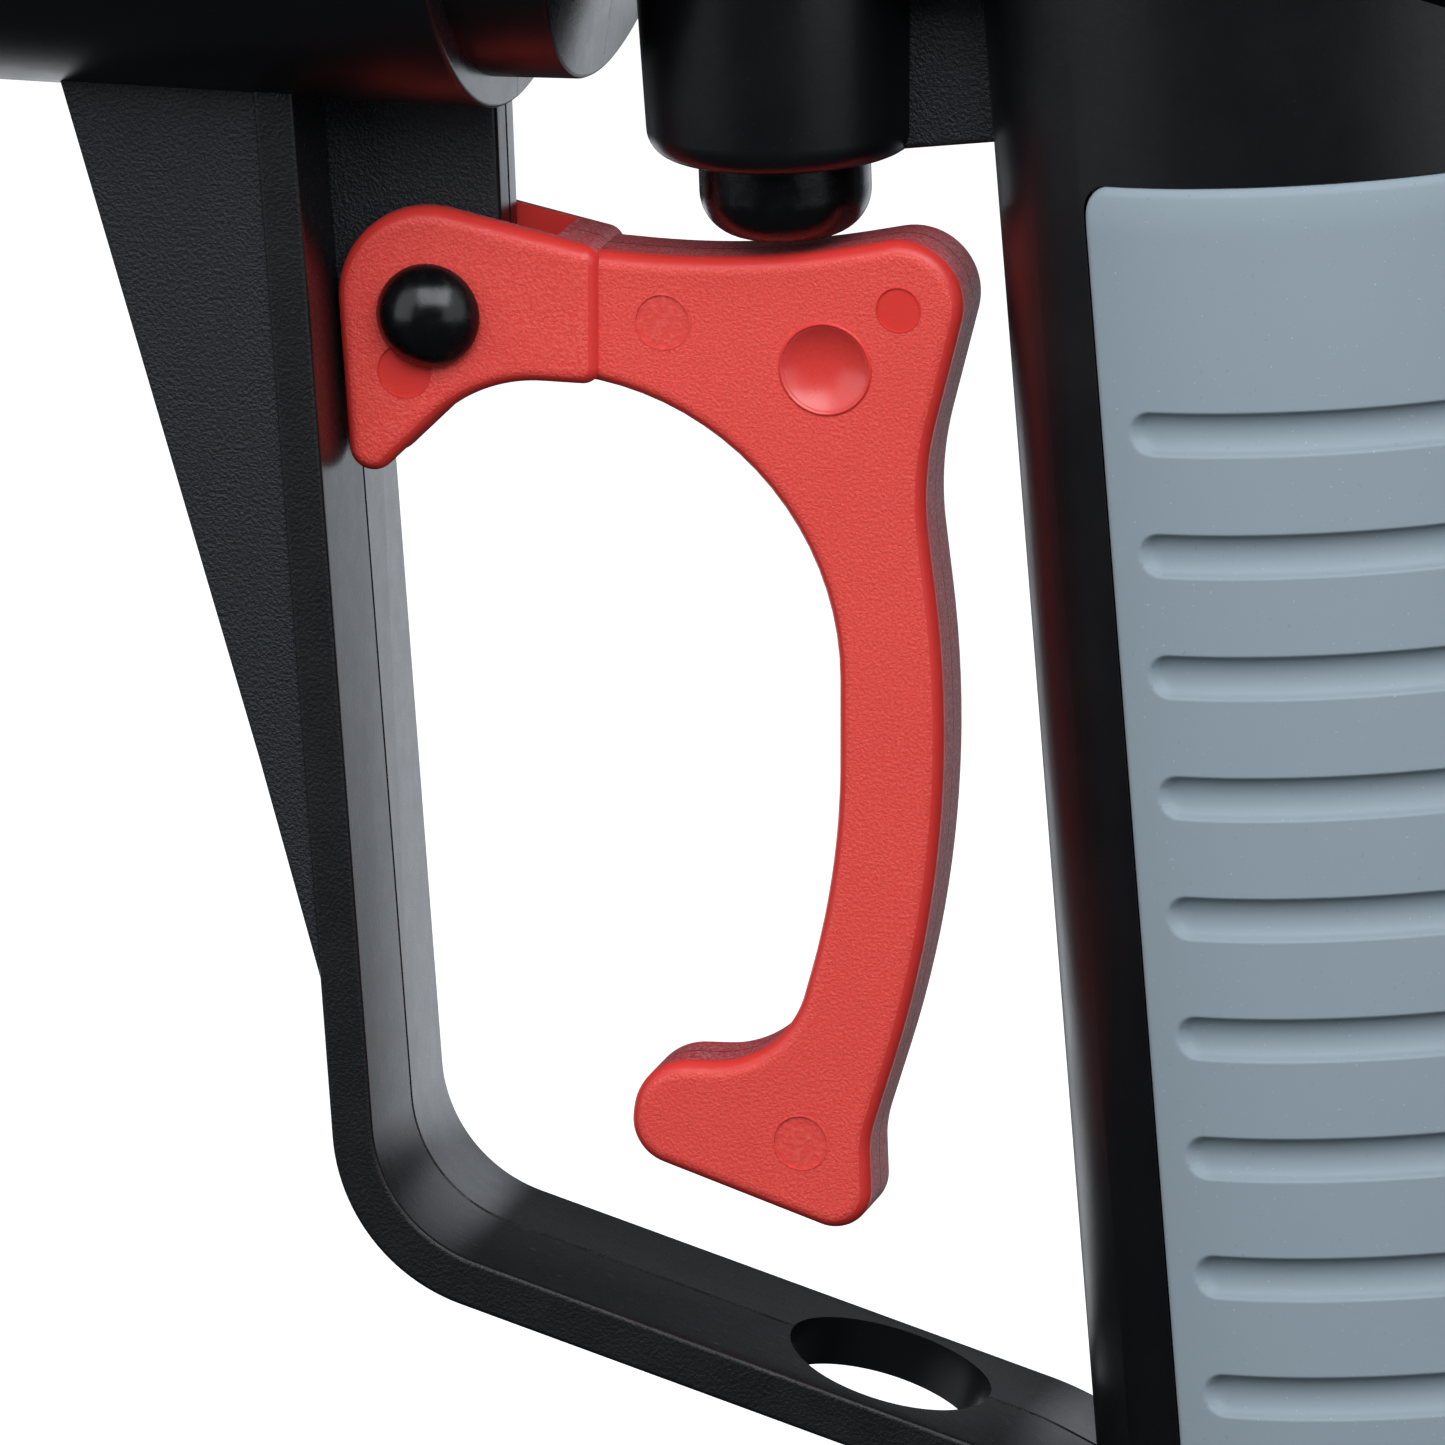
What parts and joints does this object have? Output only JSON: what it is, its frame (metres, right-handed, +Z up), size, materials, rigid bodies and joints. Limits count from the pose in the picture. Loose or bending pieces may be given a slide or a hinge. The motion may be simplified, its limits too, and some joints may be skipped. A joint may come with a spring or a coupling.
{
  "type": "caulking gun",
  "caption": "Air-powered caulking gun with a moulded body, hooked trigger, finger guard, soft grip, cartridge barrel, screw collar, pressure regulator and hose nipple.",
  "frame": {"origin": "centre of the whole gun's bounding box at rest", "axes": "-X along the barrel towards the nozzle, +Z up from the handle to the barrel, Y across the gun; the trigger pin's head faces -Y"},
  "size_m": [0.364, 0.0706, 0.2496],
  "materials": {
    "black_moulding": "glass-filled nylon, finely textured, semi-gloss",
    "grey_rubber": "matte soft-touch overmould",
    "red_moulding": "satin, finely grained moulding",
    "gloss_black": "polished",
    "brass": "turned",
    "anodised_alloy": "satin anodised",
    "seal_rubber": "moulded seal rubber",
    "steel": "bright plated",
    "piston_plastic": "natural acetal",
    "sintered_bronze": "porous sintered bronze"
  },
  "bodies": {
    "gun_body": {"body_moulding": "black_moulding", "grip_overmould": "grey_rubber", "trigger_pin": "gloss_black", "trigger_pin_cap": "gloss_black", "valve_sleeve": "brass", "valve_top_plug": "anodised_alloy", "valve_spring": "steel", "barrel_tube": "anodised_alloy", "barrel_rear_seal": "seal_rubber", "regulator_bonnet": "anodised_alloy", "regulator_diaphragm": "seal_rubber", "poppet_spring": "steel", "regulator_spring": "steel", "inlet_bush": "brass", "inlet_filter": "sintered_bronze", "exhaust_silencer": "sintered_bronze"},
    "trigger": {"trigger": "red_moulding"},
    "valve_stem": {"valve_plunger": "gloss_black", "valve_spool": "anodised_alloy", "spool_seal_lower": "seal_rubber", "spool_seal_upper": "seal_rubber"},
    "front_collar": {"front_collar": "black_moulding"},
    "piston": {"piston": "piston_plastic", "piston_seal": "seal_rubber"},
    "regulator_knob": {"regulator_knob": "black_moulding", "regulator_spindle": "steel"},
    "spring_seat": {"regulator_spring_seat": "steel"},
    "regulator_valve": {"regulator_poppet": "brass", "diaphragm_plate": "anodised_alloy"},
    "inlet_nipple": {"inlet_nipple": "steel", "inlet_seal": "seal_rubber"}
  },
  "joints": [
    {"name": "trigger_pull", "type": "hinge", "parent": "gun_body", "child": "trigger", "pos_m": [0.056, 0, 0.03496], "axis": [0, -1, 0], "range_deg": [0, 6.5], "stiffness_Nm_per_rad": 1, "springref_deg": -8.59},
    {"name": "valve_stem_slide", "type": "slide", "parent": "gun_body", "child": "valve_stem", "axis": [-0.0349, 0, 0.9994], "range_m": [0, 0.0039], "deforming": ["valve_spring"]},
    {"name": "regulator_knob_turn", "type": "hinge", "parent": "gun_body", "child": "regulator_knob", "pos_m": [0.17, 0, 0.08946], "axis": [-1, 0, 0], "range_deg": [0, 1080]},
    {"name": "spring_seat_slide", "type": "slide", "parent": "gun_body", "child": "spring_seat", "axis": [-1, 0, 0], "range_m": [0, 0.0031], "deforming": ["regulator_spring"]},
    {"name": "regulator_valve_slide", "type": "slide", "parent": "gun_body", "child": "regulator_valve", "axis": [-1, 0, 0], "range_m": [0, 0.0005], "stiffness_N_per_m": 800, "springref_m": -0.001, "deforming": ["poppet_spring", "regulator_diaphragm"]},
    {"name": "inlet_swivel", "type": "hinge", "parent": "gun_body", "child": "inlet_nipple", "pos_m": [0.12397, 0, 0.05685], "axis": [0.0837, 0, -0.9965], "continuous": true},
    {"name": "piston_slide", "type": "slide", "parent": "gun_body", "child": "piston", "axis": [-1, 0, 0], "range_m": [0, 0.195]},
    {"name": "front_collar_removal", "type": "slide", "parent": "gun_body", "child": "front_collar", "axis": [-1, 0, 0], "range_m": [0, 0.045]}
  ],
  "couplings": [
    {"joint": "valve_stem_slide", "follows": "trigger_pull", "m_per_rad": 0.0335},
    {"joint": "spring_seat_slide", "follows": "regulator_knob_turn", "m_per_rad": 0.00015915}
  ]
}
